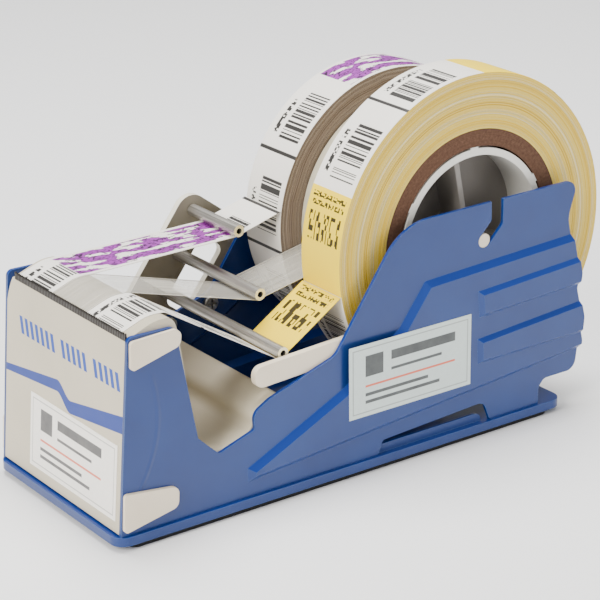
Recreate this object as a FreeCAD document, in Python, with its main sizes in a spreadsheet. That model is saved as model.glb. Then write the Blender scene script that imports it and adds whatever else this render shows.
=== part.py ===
"""Bench-top dispenser for three rolls of label tape, as a parametric document.

Two pressed steel side panels stand on a shallow steel tray with a rubber foot.  A plastic
cover between them makes the front face, the convex tape rest behind the blade and the finger
trough.  Three rolls turn on one hub, whose axle lies in a kinked slot in each panel.  A plate
on the far panel carries three guide rollers, one for each tape.

Frame: +Z up, +X to the rear, -X towards the blade, origin in the middle of the foot's
underside.  "Station" is the distance behind the blade line along X, "height" is Z.
Sizes are in millimetres.
"""
import FreeCAD, Part
import math
import os
import re
import Sketcher
from FreeCAD import Placement, Rotation, Vector

doc = FreeCAD.newDocument("label_dispenser")

# ----------------------------------------------------------------------------- sizes
# alias, value, what it is.  A value that starts with "=" is worked out from the others.
SIZES = [
    ("body_width", "91.3", "outside of one panel to outside of the other, off the pressing"),
    ("panel_sheet", "1.5", "steel of the side panels"),
    ("tray_length", "223.8", "tray from front to rear"),
    ("front_reach", "8.3", "tray ahead of the blade line"),
    ("tray_step", "1.4", "tray past each panel"),
    ("tray_sheet", "1.5", "steel of the tray"),
    ("tray_rim", "3.7", "depth of the tray's turned-down rim"),
    ("tray_corner", "6", "corner radius of the tray, seen from above"),
    ("foot_show", "2.3", "rubber below the tray's rim"),
    ("foot_inset", "5", "tray's rim to the rubber, front and rear"),
    ("tab_height", "3.7", "tray's upright tabs, inside the panels"),
    ("cover_lift", "0.8", "seam between the tray and the front cover"),
    ("cover_height", "84.6", "top of the front face above the table"),
    ("cover_wall", "2.4", "plastic of the front cover"),
    ("face_slope", "0.08", "forward lean of the front face, per unit of height"),
    ("rest_crest", "4.3", "crest of the tape rest above the front face"),
    ("post_depth", "20.8", "front post of the panel, along X at its top"),
    ("trough_station", "39", "lowest point of the finger trough"),
    ("trough_height", "28.5", "height of that point"),
    ("brow_station", "95", "where the panel's shallow slope turns steep"),
    ("brow_height", "55", "height of that turn"),
    ("crown", "15.6", "panel's top edge above the axle"),
    ("tail_reach", "6", "panel's rear corner past the tray's rear end"),
    ("cut_station", "116", "front end of the cut-out over the tray"),
    ("cut_length", "59.3", "length of that cut-out"),
    ("press_depth", "2.5", "raised field of the panel"),
    ("bead_depth", "1.8", "beads on the raised field"),
    ("tape_width", "25.4", "one roll of label tape"),
    ("roll_gap", "0.4", "space between neighbouring rolls"),
    ("core_bore", "76.2", "bore of a cardboard core"),
    ("core_wall", "7", "cardboard of a core"),
    ("near_roll_radius", "68.5", "near roll"),
    ("middle_roll_radius", "49.8", "middle roll, nearly used up"),
    ("far_roll_radius", "60.2", "far roll"),
    ("roll_clearance", "12.2", "tray to the largest roll"),
    ("axle_station", "170.6", "axle behind the blade line"),
    ("axle_diameter", "6", "hub axle"),
    ("axle_play", "0.05", "axle in its seat, on the radius"),
    ("slot_play", "0.3", "slot wider than the axle"),
    ("core_play", "0.08", "hub's ribs in a core, on the radius"),
    ("hub_wall", "3", "wall of the hub shell"),
    ("hub_rib", "0.75", "height of a rib on the hub shell"),
    ("rib_width", "4", "width of a rib on the hub shell"),
    ("spider_recess", "18", "hub's web behind its open end"),
    ("spider_web", "2.5", "web and spokes of the hub"),
    ("boss_diameter", "14", "hub's boss round the axle"),
    ("blade_sheet", "0.8", "steel of the blade"),
    ("blade_show", "2.5", "blade above the front face"),
    ("blade_root", "5.6", "blade inside its groove"),
    ("blade_lip", "1", "plastic in front of the blade"),
    ("shoulder_cut", "4", "cover's far shoulder, in from the far panel"),
    ("shoulder_drop", "10.5", "height of the curve of that shoulder"),
    ("tooth_pitch", "1.2", "teeth of the blade"),
    ("tooth_depth", "1.1", "depth of a tooth"),
    ("cap_sheet", "1.6", "plate of a side cap"),
    ("peg_diameter", "4", "peg of a side cap"),
    ("peg_reach", "6", "peg inside the panel"),
    ("plate_sheet", "3", "guide plate"),
    ("plate_lean", "53", "lean of the guide plate's front edge, in degrees"),
    ("roller_diameter", "5", "guide roller"),
    ("pin_diameter", "2.4", "pin inside a guide roller"),
    ("pin_play", "0.05", "roller on its pin, on the radius"),
    ("pin_recess", "1.5", "pin's end inside the roller's end"),
    ("roller_overhang", "2.1", "roller past the near edge of its tape"),
    ("high_station", "88.6", "guide roller of the far tape"),
    ("high_height", "92.7", "its height"),
    ("mid_station", "80.7", "guide roller of the middle tape"),
    ("mid_height", "74.9", "its height"),
    ("low_station", "73.2", "guide roller of the near tape"),
    ("low_height", "60", "its height"),
    ("tape_sheet", "0.25", "label tape on its liner"),
    ("body_gap", "0.3", "air between a tape and what turns beside it"),
    ("screw_diameter", "4", "screws of the guide plate"),
    ("screw_head", "7", "diameter of their heads"),
    ("head_height", "2.2", "height of their heads"),
    ("nut_width", "7", "their nuts across the flats"),
    ("nut_height", "3", "height of their nuts"),
    ("rear_screw_station", "94.9", "rear screw of the guide plate"),
    ("rear_screw_height", "50", "its height"),
    ("front_screw_station", "74", "front screw of the guide plate"),
    ("front_screw_height", "45", "its height"),
    ("rail_sheet", "3", "rail inside the near panel"),
    ("rail_depth", "8.8", "height of the rail"),
    ("label_sheet", "0.25", "printed label stuck on"),
    # worked out from the sizes above
    ("floor_top", "=foot_show+tray_rim", "top of the tray"),
    ("axle_height", "=floor_top+roll_clearance+near_roll_radius", "axle above the table"),
    ("panel_top", "=axle_height+crown", "top edge of the panels"),
    ("panel_rise", "=panel_top-floor_top", "height of a panel"),
    ("post_top", "=cover_height+1.3", "top of the panel's front post"),
    ("tail", "=tray_length-front_reach+tail_reach", "station of the panel's rear corner"),
    ("station_zero", "=front_reach-tray_length/2", "X of the blade line"),
    ("inner_width", "=body_width-2*panel_sheet", "between the panels"),
    ("tape_pitch", "=tape_width+roll_gap", "from one roll to the next"),
    ("stack_width", "=3*tape_width+2*roll_gap", "the three rolls together"),
    ("stack_side", "=(body_width-stack_width)/2", "near panel's outside to the near roll"),
    ("core_radius", "=core_bore/2+core_wall", "outside of a core"),
    ("slot_width", "=axle_diameter+slot_play", "axle slot"),
    ("slot_shift", "=slot_width+0.4", "slot's mouth behind the axle's seat"),
    ("blade_station", "=blade_lip+blade_sheet", "rear face of the blade"),
]

sheet = doc.addObject("Spreadsheet::Sheet", "dims")
for row, (alias, value, meaning) in enumerate(SIZES, start=1):
    sheet.set(f"A{row}", meaning)
    sheet.set(f"B{row}", value)
    sheet.setAlias(f"B{row}", alias)
doc.recompute()
ALIASES = {alias for alias, _, _ in SIZES}


def bound(formula):
    """The formula with each size written as a reference to the sheet."""
    return re.sub(r"[a-z_]+[a-z]", lambda word: "dims." + word.group()
                  if word.group() in ALIASES else word.group(), formula)


def size(formula):
    """The formula's value now, for what is worked out in this code."""
    return float(sheet.evalExpression(bound(formula)))


# ----------------------------------------------------------------------------- helpers
def new_body(label, y_formula, shift="station_zero", z_formula="0"):
    """A body whose own X is the station and whose own Y starts at y_formula."""
    body = doc.addObject("PartDesign::Body", label)
    body.Label = label
    body.setExpression("Placement.Base.x", bound(shift))
    body.setExpression("Placement.Base.y", bound(y_formula))
    body.setExpression("Placement.Base.z", bound(z_formula))
    return body


def new_sketch(body, name, role, offset="0"):
    """A sketch on one of the body's own origin planes, moved along its normal."""
    sketch = body.newObject("Sketcher::SketchObject", name)
    plane = [f for f in body.Origin.OriginFeatures if f.Role == role][0]
    sketch.AttachmentSupport = [(plane, "")]
    sketch.MapMode = "FlatFace"
    sketch.setExpression("AttachmentOffset.Base.z", bound(offset))
    return sketch


def fix_point(sketch, geometry, position, across, up):
    """Bind a point's two coordinates to formulas."""
    for kind, formula in (("DistanceX", across), ("DistanceY", up)):
        index = sketch.addConstraint(
            Sketcher.Constraint(kind, -1, 1, geometry, position, size(formula)))
        sketch.setExpression(f"Constraints[{index}]", bound(formula))


def draw_polygon(sketch, corners):
    """A closed polygon whose corners are pairs of formulas."""
    first = sketch.GeometryCount
    count = len(corners)
    points = [Vector(size(across), size(up), 0) for across, up in corners]
    for i in range(count):
        sketch.addGeometry(Part.LineSegment(points[i], points[(i + 1) % count]))
    for i in range(count):
        sketch.addConstraint(Sketcher.Constraint(
            "Coincident", first + i, 2, first + (i + 1) % count, 1))
        fix_point(sketch, first + i, 1, *corners[i])


def draw_box(sketch, left, right, low, high):
    draw_polygon(sketch, [(left, low), (right, low), (right, high), (left, high)])


def draw_circle(sketch, across, up, diameter):
    centre = Vector(size(across), size(up), 0)
    index = sketch.addGeometry(
        Part.Circle(centre, Vector(0, 0, 1), size(diameter) / 2))
    fix_point(sketch, index, 3, across, up)
    bind = sketch.addConstraint(Sketcher.Constraint("Diameter", index, size(diameter)))
    sketch.setExpression(f"Constraints[{bind}]", bound(diameter))


def pad(body, name, sketch, length, backwards=False, taper=0):
    """Add material along the sketch's normal, or against it."""
    feature = body.newObject("PartDesign::Pad", name)
    feature.Profile = sketch
    feature.Reversed = backwards
    feature.TaperAngle = taper
    feature.setExpression("Length", bound(length))
    body.Tip = feature
    doc.recompute()
    return feature


def pocket(body, name, sketch, length=None, backwards=False, taper=0):
    """Remove material, through everything both ways when no length is given."""
    before = body.Shape.Volume
    feature = body.newObject("PartDesign::Pocket", name)
    feature.Profile = sketch
    feature.Reversed = backwards
    feature.TaperAngle = taper
    if length is None:
        feature.Type = "ThroughAll"
        feature.Midplane = True
    else:
        feature.setExpression("Length", bound(length))
    body.Tip = feature
    doc.recompute()
    if not body.Shape.Volume < before - 1e-3:
        raise RuntimeError(f"{body.Label}: pocket {name} cuts nothing")
    return feature


def round_corners(body, name, radius, corners, axis=Vector(0, 1, 0)):
    """Fillet the edges along one axis that pass through the given corners."""
    base = body.Tip
    wanted = [(size(across), size(up)) for across, up in corners]
    names = []
    for number, edge in enumerate(base.Shape.Edges, start=1):
        if not isinstance(edge.Curve, (Part.Line, Part.LineSegment)):
            continue
        ends = [vertex.Point for vertex in edge.Vertexes]
        if (ends[1] - ends[0]).cross(axis).Length > 1e-4:
            continue
        place = (ends[0].x, ends[0].z) if axis.y else (ends[0].x, ends[0].y)
        if any(math.dist(place, corner) < 1e-3 for corner in wanted):
            names.append(f"Edge{number}")
    if not names:
        raise RuntimeError(f"{body.Label}: no edges for {name}")
    fillet = body.newObject("PartDesign::Fillet", name)
    fillet.Base = (base, names)
    fillet.setExpression("Radius", bound(radius))
    body.Tip = fillet
    doc.recompute()
    return fillet


def rounded_path(points, radii):
    """A wire of straight runs in the XZ plane, joined by tangent arcs."""
    edges = []
    start = points[0]
    for i in range(1, len(points) - 1):
        corner, radius = points[i], radii[i - 1]
        back = (points[i - 1] - corner).normalize()
        ahead = (points[i + 1] - corner).normalize()
        if radius == 0:
            edges.append(Part.LineSegment(start, corner).toShape())
            start = corner
            continue
        half = back.getAngle(ahead) / 2
        reach = radius / math.tan(half)
        middle = (back + ahead).normalize() * (radius / math.sin(half) - radius)
        entry, leave = corner + back * reach, corner + ahead * reach
        if (entry - start).Length > 1e-6:
            edges.append(Part.LineSegment(start, entry).toShape())
        edges.append(Part.Arc(entry, corner + middle, leave).toShape())
        start = leave
    edges.append(Part.LineSegment(start, points[-1]).toShape())
    return Part.Wire(edges)


def strip(points, radii, wall, width):
    """A sheet of even thickness along a path in the XZ plane, width deep along Y.

    A positive wall adds the thickness above a path that is walked to the rear."""
    path = rounded_path([Vector(x, 0, z) for x, z in points], radii)
    return path.makeOffset2D(wall, 0, True, True).extrude(Vector(0, width, 0))


def place_shape(label, shape, y_value):
    """A document object for a shape made in station, Y and height."""
    feature = doc.addObject("Part::Feature", label)
    feature.Label = label
    feature.Shape = shape
    feature.Placement = Placement(Vector(size("station_zero"), y_value, 0), Rotation())
    return feature


def ring(label, outer, bore, length, y_formula):
    """A round part with a bore, on the axle's line."""
    body = new_body(label, y_formula, "station_zero+axle_station", "axle_height")
    sketch = new_sketch(body, label + "_section", "XZ_Plane")
    draw_circle(sketch, "0", "0", outer)
    draw_circle(sketch, "0", "0", bore)
    pad(body, label + "_length", sketch, length, backwards=True)
    return body


NEAR_OUT = "-body_width/2"
NEAR_IN = "-inner_width/2"

# ----------------------------------------------------------------------------- tray and foot
tray = new_body("base_tray", "0", "0", "foot_show")
section = new_sketch(tray, "tray_outline", "XY_Plane")
draw_box(section, "-tray_length/2", "tray_length/2",
         "-body_width/2-tray_step", "body_width/2+tray_step")
pad(tray, "tray_block", section, "tray_rim")
TRAY_CORNERS = [(f"{x}tray_length/2", f"{y}(body_width/2+tray_step)")
                for x in ("-", "+") for y in ("-", "+")]
section = new_sketch(tray, "tray_hollow_outline", "XY_Plane")
draw_box(section, "-tray_length/2+tray_sheet", "tray_length/2-tray_sheet",
         "-body_width/2-tray_step+tray_sheet", "body_width/2+tray_step-tray_sheet")
pocket(tray, "tray_hollow", section, "tray_rim-tray_sheet", backwards=True)
HOLLOW_CORNERS = [(f"{x}(tray_length/2-tray_sheet)", f"{y}(body_width/2+tray_step-tray_sheet)")
                  for x in ("-", "+") for y in ("-", "+")]
round_corners(tray, "hollow_corners", "tray_corner-tray_sheet", HOLLOW_CORNERS, Vector(0, 0, 1))
round_corners(tray, "tray_corners", "tray_corner", TRAY_CORNERS, Vector(0, 0, 1))

# upright tabs, to which the panels are welded
for name, offset, inwards in (("near", "inner_width/2", True), ("far", "-inner_width/2", False)):
    section = new_sketch(tray, f"{name}_tab_outline", "XZ_Plane", offset)
    TAB = [("cut_station-40-tray_length/2+front_reach", "tray_rim"),
           ("cut_station-40-tray_length/2+front_reach", "tray_rim+tab_height"),
           ("cut_station+cut_length-3.8-tray_length/2+front_reach", "tray_rim+tab_height"),
           ("cut_station+cut_length-3.8-tray_length/2+front_reach", "tray_rim")]
    draw_polygon(section, TAB)
    pad(tray, f"{name}_tab", section, "tray_sheet", backwards=inwards)
round_corners(tray, "tab_corners", "tab_height-0.4", TAB[1:3])

foot = new_body("rubber_foot", "0", "0")
section = new_sketch(foot, "foot_outline", "XY_Plane")
FOOT_X, FOOT_Y = "(tray_length/2-tray_sheet-foot_inset)", "(body_width/2+tray_step-tray_sheet)"
draw_box(section, "-" + FOOT_X, FOOT_X, "-" + FOOT_Y, FOOT_Y)
pad(foot, "foot_block", section, "foot_show+tray_rim-tray_sheet")
FOOT_CORNERS = [(x + FOOT_X, y + FOOT_Y) for x in ("-", "+") for y in ("-", "+")]
round_corners(foot, "foot_corners", "tray_corner-tray_sheet", FOOT_CORNERS, Vector(0, 0, 1))

# ----------------------------------------------------------------------------- side panels
FRONT_FOOT = "-face_slope*(cover_height-floor_top)"
POST_FRONT = "face_slope*(post_top-cover_height)"
POST_REAR = [("post_depth", "post_top-0.4"),
             ("trough_station-9.4", "trough_height+9"),
             ("trough_station", "trough_height"),
             ("trough_station+16.8", "trough_height+5.4"),
             ("trough_station+16.2", "trough_height+12.2"),
             ("trough_station+24", "trough_height+16.6")]
REAR_EDGE = [("tail", "panel_top+0.7"),
             ("tail-5.3", "axle_height+0.5"),
             ("tail+0.2", "floor_top+0.582*panel_rise"),
             ("tail-1", "floor_top+0.509*panel_rise"),
             ("tail+2.2", "floor_top+0.374*panel_rise"),
             ("tail+1.6", "floor_top+0.317*panel_rise"),
             ("tail+3", "floor_top+0.255*panel_rise"),
             ("tail+1", "floor_top+0.115*panel_rise"),
             ("tail-16.2", "floor_top+0.115*panel_rise"),
             ("tail-19.2", "floor_top+0.08*panel_rise"),
             ("tail-19.2", "floor_top")]
CUT_OUT = [("cut_station+cut_length", "floor_top"),
           ("cut_station+cut_length-3.6", "floor_top+9"),
           ("cut_station+2.6", "floor_top+6.2"),
           ("cut_station", "floor_top")]
SHOULDER = ("axle_station-42.4", "panel_top")
PANEL_OUTLINE = ([(FRONT_FOOT, "floor_top"), (POST_FRONT, "post_top")] + POST_REAR
                 + [("brow_station", "brow_height"), SHOULDER] + REAR_EDGE + CUT_OUT)
FIELD = [("trough_station+13", "0.18*panel_top"),
         ("brow_station+4.2", "brow_height-14.5"),
         ("axle_station-44", "0.575*panel_top"),
         ("axle_station-30.8", "axle_height-10.5"),
         ("tail+20", "axle_height-6.2"),
         ("tail+20", "floor_top+0.227*panel_rise"),
         ("trough_station+13", "floor_top+6.6")]
BEADS = [[("axle_station-5", "0.65*panel_top"), ("tail+20", "0.69*panel_top"),
          ("tail+20", "0.565*panel_top"), ("axle_station-4", "0.535*panel_top")],
         [("axle_station-5", "0.445*panel_top"), ("tail+20", "0.495*panel_top"),
          ("tail+20", "0.34*panel_top"), ("axle_station-4.5", "0.335*panel_top")]]
CAP_PEGS = [("10", "cover_height-5.1"), ("6", "16.2")]
PLATE_SCREWS = [("rear_screw_station", "rear_screw_height"),
                ("front_screw_station", "front_screw_height")]
RAIL_STUD = ("brow_station+8.6", "brow_height-0.2")


def side_panel(label, y_formula, near):
    """One pressed panel, whose body starts at its outer face; near faces -Y."""
    side = new_body(label, y_formula)
    profile = new_sketch(side, label + "_outline", "XZ_Plane")
    draw_polygon(profile, PANEL_OUTLINE)
    pad(side, label + "_plate", profile, "panel_sheet", backwards=near)

    # the pressing: the same tapered form is added outside and taken away inside
    inwards = "-" if near else ""
    steps = [(FIELD, "press_depth", "0", "panel_sheet")]
    steps += [(bead, "bead_depth", "press_depth", "panel_sheet-press_depth") for bead in BEADS]
    for number, (outline, depth, outer, inner) in enumerate(steps):
        outside = new_sketch(side, f"{label}_form_{number}", "XZ_Plane",
                             f"{outer}" if near else f"-({outer})")
        draw_polygon(outside, outline)
        pad(side, f"{label}_raise_{number}", outside, depth, backwards=not near, taper=-45)
        inside = new_sketch(side, f"{label}_back_{number}", "XZ_Plane",
                            f"{inwards}({inner})")
        draw_polygon(inside, outline)
        pocket(side, f"{label}_hollow_{number}", inside, depth, backwards=near, taper=-45)

    trim = new_sketch(side, label + "_rear_edge", "XZ_Plane")
    draw_polygon(trim, REAR_EDGE + [("tail+40", "floor_top"), ("tail+40", "panel_top+0.7")])
    pocket(side, label + "_rear_trim", trim)

    # the axle's way in: straight down, then forward at 45 degrees to its seat
    mouth = new_sketch(side, label + "_slot_mouth", "XZ_Plane")
    draw_box(mouth, "axle_station+slot_shift-slot_width/2", "axle_station+slot_shift+slot_width/2",
             "axle_height+slot_shift", "panel_top+5")
    pocket(side, label + "_slot_entry", mouth)
    ramp = new_sketch(side, label + "_slot_ramp", "XZ_Plane")
    half = "slot_width/2*0.7071"
    draw_polygon(ramp, [(f"axle_station+{half}", f"axle_height-{half}"),
                        (f"axle_station+slot_shift+{half}", f"axle_height+slot_shift-{half}"),
                        (f"axle_station+slot_shift-{half}", f"axle_height+slot_shift+{half}"),
                        (f"axle_station-{half}", f"axle_height+{half}")])
    pocket(side, label + "_slot_slope", ramp)
    for name, across, up, width in (
            ("bend", "axle_station+slot_shift", "axle_height+slot_shift", "slot_width"),
            ("seat", "axle_station", "axle_height", "axle_diameter+2*axle_play")):
        circle = new_sketch(side, f"{label}_slot_{name}", "XZ_Plane")
        draw_circle(circle, across, up, width)
        pocket(side, f"{label}_slot_{name}_cut", circle)

    holes = new_sketch(side, label + "_holes", "XZ_Plane")
    for across, up in CAP_PEGS:
        draw_circle(holes, across, up, "peg_diameter")
    if near:
        draw_circle(holes, *RAIL_STUD, "rail_sheet")
    else:
        for across, up in PLATE_SCREWS:
            draw_circle(holes, across, up, "screw_diameter")
    pocket(side, label + "_hole_cuts", holes)

    for radius, corners in (
            ("1.5", POST_REAR[2:4] + CUT_OUT[2:3]),
            ("2.5", [(POST_FRONT, "post_top"), POST_REAR[0]]),
            ("5", POST_REAR[4:5]),
            ("14", POST_REAR[5:6]),
            ("8", [("brow_station", "brow_height")]),
            ("26", [SHOULDER]),
            ("4.5", REAR_EDGE[0:1] + CUT_OUT[1:2]),
            ("12", REAR_EDGE[1:2]),
            ("3", REAR_EDGE[3:4] + REAR_EDGE[5:6] + REAR_EDGE[8:9]),
            ("5", REAR_EDGE[2:3] + REAR_EDGE[4:5] + REAR_EDGE[6:8])):
        round_corners(side, f"{label}_round_{corners[0][0]}_{radius}".replace(".", "_"),
                      radius, corners)
    return side


side_panel("near_panel", NEAR_OUT, near=True)
side_panel("far_panel", "body_width/2", near=False)

# ----------------------------------------------------------------------------- front cover
# One plastic moulding: front face, tape rest, trough.  Its wall follows one path.
rest_front = size("cover_height") - 0.3
slope = size("face_slope")
trough_x, trough_z = size("trough_station"), size("trough_height")
post_x, post_z = size("post_depth"), size("post_top")
crest_z = size("cover_height") + size("rest_crest")
wall = size("cover_wall")
foot_z = size("floor_top+cover_lift")
COVER_PATH = [(-slope * (size("cover_height") - foot_z), foot_z),
              (slope * (rest_front - size("cover_height")), rest_front),
              (13.2, crest_z + 0.4),
              (post_x + 0.2, crest_z),
              (post_x + 2.1, crest_z - 6),
              (trough_x - 9.4, trough_z + 9),
              (trough_x, trough_z),
              (trough_x + 16.8, trough_z + 5.4),
              (trough_x + 16.2, trough_z + 12.2),
              (trough_x + 24, trough_z + 16.6),
              (trough_x + 29, trough_z + 18.1),
              (trough_x + 30.5, trough_z + 14.6)]
COVER_RADII = [0.6, 18, 4.5, 12, 6, 5, 4, 5, 12, 2.6]
width = size("inner_width")
cover = strip(COVER_PATH, COVER_RADII, -wall, width)
blade_x, lip = size("blade_station"), size("blade_lip")
land = Part.makeBox(blade_x + 5, width, size("blade_show") + 5,
                    Vector(-5, 0, size("cover_height")))
blade_length = width - size("stack_side-panel_sheet")
groove = Part.makeBox(size("blade_sheet"), blade_length, size("blade_root"),
                      Vector(lip, 0, size("cover_height") - size("blade_root")))
backing = Part.makeBox(wall + 1.4, width, size("blade_root") + 1,
                       Vector(0.6, 0, size("cover_height") - size("blade_root") - 1))
cover = cover.fuse(backing).cut(land).cut(groove)
peg, reach = size("peg_diameter"), size("peg_reach")
BOSSES = [(Vector(5, 0, size("cover_height") - 9), Vector(10, 0, 10)),
          (Vector(8, 0, size("cover_height") - 4), Vector(post_x - 8.6, 0, 6.2)),
          (Vector(-6, 0, 12), Vector(16, 0, 8.4))]
face_clip = Part.makeBox(60, width, 200, Vector(-60, 0, 0))
face_clip.rotate(Vector(0, 0, size("cover_height")), Vector(0, 1, 0),
                 math.degrees(math.atan(slope)))
for corner, extent in BOSSES:
    for start in (0, width - reach):
        boss = Part.makeBox(extent.x, reach, extent.z, corner + Vector(0, start, 0))
        cover = cover.fuse(boss.cut(face_clip))
for across, up in CAP_PEGS:
    hole = Part.makeCylinder(peg / 2, width, Vector(size(across), 0, size(up)), Vector(0, 1, 0))
    cover = cover.cut(hole)
# The far shoulder is set in from the panel, with a curve down the face.
top_z, cut = size("cover_height"), size("shoulder_cut")
drop = size("shoulder_drop")
bend = Part.Arc(Vector(-12, width - cut, top_z), Vector(-12, width - 0.36 * cut, top_z - 0.5 * drop),
                Vector(-12, width, top_z - drop)).toShape()
above = Part.makePolygon([Vector(-12, width, top_z - drop), Vector(-12, width + 5, top_z - drop),
                          Vector(-12, width + 5, top_z + 20), Vector(-12, width - cut, top_z + 20),
                          Vector(-12, width - cut, top_z)])
shoulder = Part.Face(Part.Wire([bend] + above.Edges)).extrude(Vector(16.2, 0, 0))
ledge = Part.makeBox(post_x, cut + 5, 20, Vector(4, width - cut, top_z - 1.2))
cover = cover.cut(shoulder).cut(ledge)
place_shape("front_cover", cover.removeSplitter(), size(NEAR_IN))

# ----------------------------------------------------------------------------- blade
# A strip of steel whose upper edge is a row of V teeth.
pitch = size("tooth_pitch")
teeth = int(blade_length / pitch)
margin = (blade_length - teeth * pitch) / 2
tip_z = size("cover_height") + size("blade_show")
edge_points = [Vector(0, 0, size("cover_height") - size("blade_root")), Vector(0, 0, tip_z)]
for tooth in range(teeth):
    start = margin + tooth * pitch
    edge_points += [Vector(0, start, tip_z),
                    Vector(0, start + pitch / 2, tip_z - size("tooth_depth"))]
edge_points += [Vector(0, blade_length - margin, tip_z), Vector(0, blade_length, tip_z),
                Vector(0, blade_length, edge_points[0].z), edge_points[0]]
blade = Part.Face(Part.makePolygon(edge_points)).extrude(Vector(size("blade_sheet"), 0, 0))
blade.translate(Vector(lip, 0, 0))
place_shape("cutter_blade", blade, size(NEAR_IN))

# ----------------------------------------------------------------------------- side caps
# Plastic plates outside the panels; each one's peg goes through the panel into the cover.
UPPER_CAP = [("0.6", "cover_height-0.2"), ("post_depth+2", "cover_height+0.6"),
             ("post_depth+1.4", "cover_height-6.4"), ("0.2", "cover_height-12")]
LOWER_CAP = [("-4.6", "24"), ("19.5", "21"), ("19", "12.5"), ("-5.5", "7.8")]
for side_name, y_formula, near in (("near", NEAR_OUT, True), ("far", "body_width/2", False)):
    for level, outline, (across, up) in (("upper", UPPER_CAP, CAP_PEGS[0]),
                                         ("lower", LOWER_CAP, CAP_PEGS[1])):
        cap = new_body(f"{side_name}_{level}_cap", y_formula)
        section = new_sketch(cap, cap.Label + "_outline", "XZ_Plane")
        draw_polygon(section, outline)
        pad(cap, cap.Label + "_plate", section, "cap_sheet", backwards=not near)
        section = new_sketch(cap, cap.Label + "_peg_section", "XZ_Plane")
        draw_circle(section, across, up, "peg_diameter")
        pad(cap, cap.Label + "_peg", section, "panel_sheet+peg_reach", backwards=near)
        round_corners(cap, cap.Label + "_front", "1.5", [outline[0], outline[3]])
        round_corners(cap, cap.Label + "_nose", "3.2", [outline[1], outline[2]])

# ----------------------------------------------------------------------------- guide plate
# It leans back on the outside of the far panel.  Two helpers turn a place along and across
# its leaning front edge into a station and a height.
along_x, along_z = "cos(plate_lean*1deg)", "sin(plate_lean*1deg)"


def lean(along, across):
    """Formulas for a point: along the leaning edge from its foot, across towards the rear."""
    return (f"55.9+({along})*{along_x}+({across})*{along_z}",
            f"61.2+({along})*{along_z}-({across})*{along_x}")


plate = new_body("guide_plate", "body_width/2")
section = new_sketch(plate, "plate_outline", "XZ_Plane")
PLATE = [lean("-14", "0"), lean("51.4", "0"), lean("51.4", "44"), lean("11", "44"),
         ("front_screw_station-10", "front_screw_height-4.5")]
draw_polygon(section, PLATE)
pad(plate, "plate_block", section, "plate_sheet", backwards=True)
round_corners(plate, "plate_top_corner", "8", PLATE[1:3])
round_corners(plate, "plate_foot_corners", "5", PLATE[3:] + PLATE[:1])
section = new_sketch(plate, "plate_window_outline", "XZ_Plane")
WINDOW = [lean("5.2", "18"), lean("38", "18"), lean("38", "31"), lean("5.2", "31")]
draw_polygon(section, WINDOW)
pocket(plate, "plate_window", section)
round_corners(plate, "window_corners", "3.5", WINDOW)
section = new_sketch(plate, "plate_holes", "XZ_Plane")
for across, up in PLATE_SCREWS:
    draw_circle(section, across, up, "screw_diameter")
ROLLERS = [("high", "high_station", "high_height", "2"),
           ("middle", "mid_station", "mid_height", "1"),
           ("low", "low_station", "low_height", "0")]
for _, across, up, _ in ROLLERS:
    draw_circle(section, across, up, "pin_diameter")
pocket(plate, "plate_hole_cuts", section)

for name, across, up, lane in ROLLERS:
    start = f"-body_width/2+stack_side+{lane}*tape_pitch-roller_overhang"
    centre = (f"station_zero+{across}", up)
    roller = new_body(f"{name}_guide_roller", start, centre[0], centre[1])
    section = new_sketch(roller, roller.Label + "_section", "XZ_Plane")
    draw_circle(section, "0", "0", "roller_diameter")
    draw_circle(section, "0", "0", "pin_diameter+2*pin_play")
    pad(roller, roller.Label + "_tube", section,
        f"body_width-stack_side-{lane}*tape_pitch+roller_overhang-body_gap", backwards=True)
    pin = new_body(f"{name}_guide_pin", start + "+pin_recess", centre[0], centre[1])
    section = new_sketch(pin, pin.Label + "_section", "XZ_Plane")
    draw_circle(section, "0", "0", "pin_diameter")
    pad(pin, pin.Label + "_rod", section,
        f"body_width-stack_side-{lane}*tape_pitch+roller_overhang-pin_recess+plate_sheet",
        backwards=True)

head_z, nut_z = size("head_height"), size("nut_height")
grip = size("panel_sheet+plate_sheet")
screws, nuts = [], []
for across, up in PLATE_SCREWS:
    centre = Vector(size(across), 0, size(up))
    shank = Part.makeCylinder(size("screw_diameter") / 2, grip + nut_z + 1, centre,
                              Vector(0, 1, 0))
    head = Part.makeCylinder(size("screw_head") / 2, head_z,
                             centre - Vector(0, head_z, 0), Vector(0, 1, 0))
    head = head.makeFillet(0.9, [head.Edges[2]])
    cross = Part.makeBox(4.2, 1.2, 0.9, centre + Vector(-2.1, -head_z, -0.45))
    cross = cross.fuse(Part.makeBox(0.9, 1.2, 4.2, centre + Vector(-0.45, -head_z, -2.1)))
    screws.append(shank.fuse(head).cut(cross).removeSplitter())
    corner = size("nut_width") / math.sqrt(3)
    hexagon = [centre + Vector(corner * math.cos(math.radians(60 * k)), grip,
                               corner * math.sin(math.radians(60 * k))) for k in range(7)]
    nut = Part.Face(Part.makePolygon(hexagon)).extrude(Vector(0, nut_z, 0))
    bore = Part.makeCylinder(size("screw_diameter") / 2, grip + nut_z + 1, centre,
                             Vector(0, 1, 0))
    nuts.append(nut.cut(bore))
far_inside = size("inner_width/2")
place_shape("plate_screws", Part.makeCompound(screws), far_inside)
place_shape("plate_nuts", Part.makeCompound(nuts), far_inside)

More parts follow.
